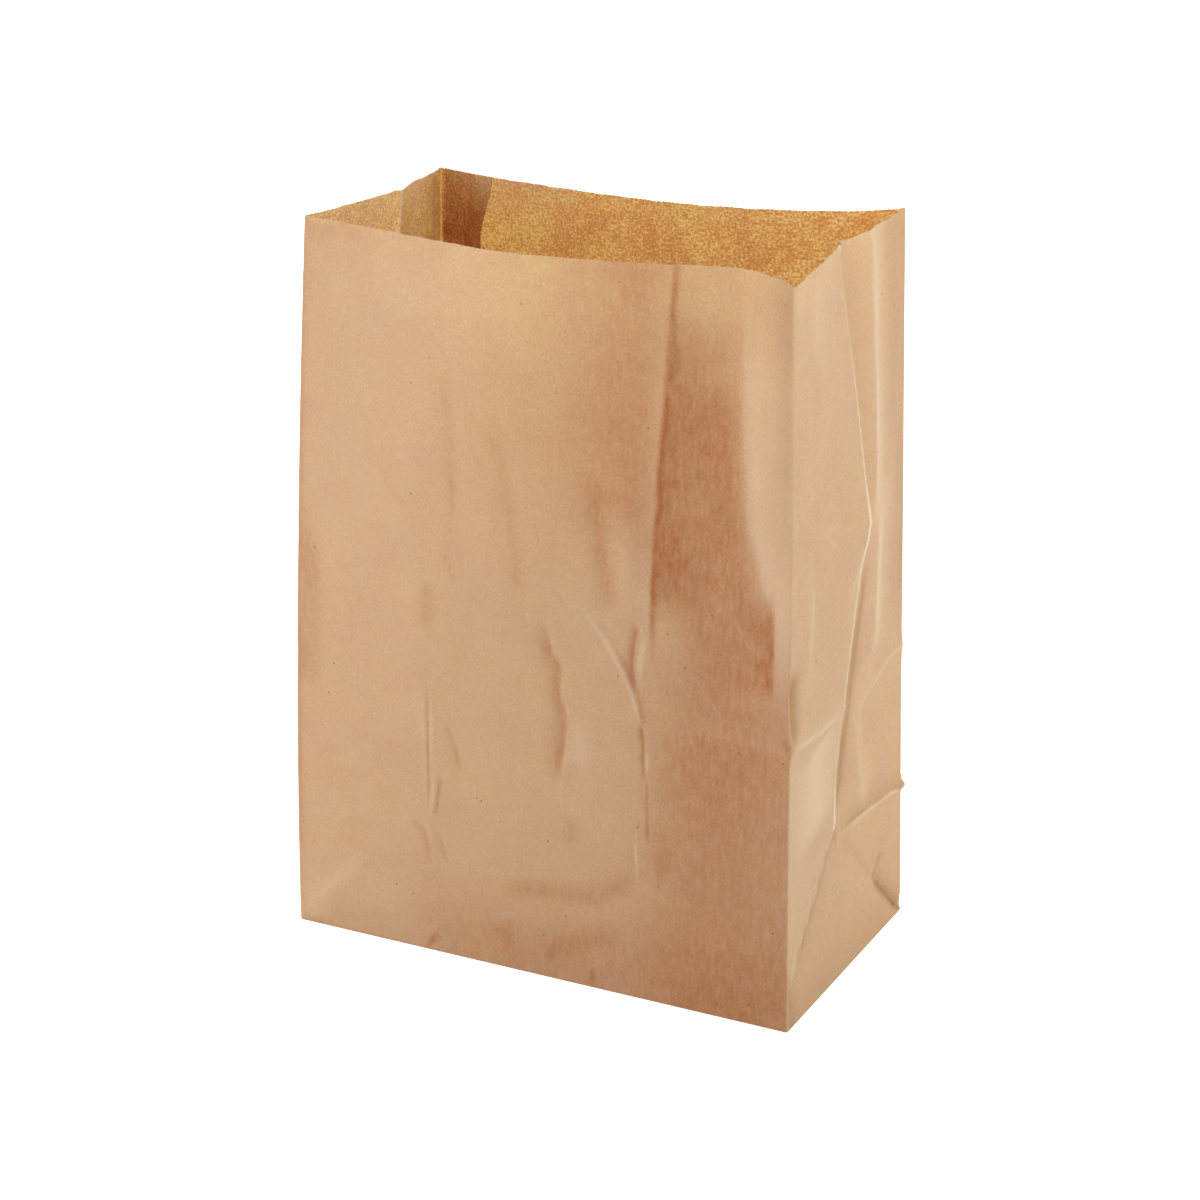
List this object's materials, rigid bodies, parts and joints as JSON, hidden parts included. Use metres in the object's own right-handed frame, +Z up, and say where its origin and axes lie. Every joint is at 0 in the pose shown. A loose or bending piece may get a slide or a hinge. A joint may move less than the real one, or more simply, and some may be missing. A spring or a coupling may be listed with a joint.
{
  "type": "paper lunch bag",
  "caption": "Flat-bottomed brown kraft paper bag, standing open, with creased side gussets, a long glued seam inside the back and a folded, glued bottom.",
  "frame": {"origin": "middle of the flat bottom, on the outer face of its front flap, where the bag stands", "axes": "+Z up out of the mouth, front panel towards -Y, the wide panels along X"},
  "size_m": [0.2066, 0.1199, 0.274],
  "materials": {
    "kraft_paper": "matt, unbleached, lightly creased"
  },
  "bodies": {
    "root": {"paper_bag": "kraft_paper"}
  },
  "joints": []
}
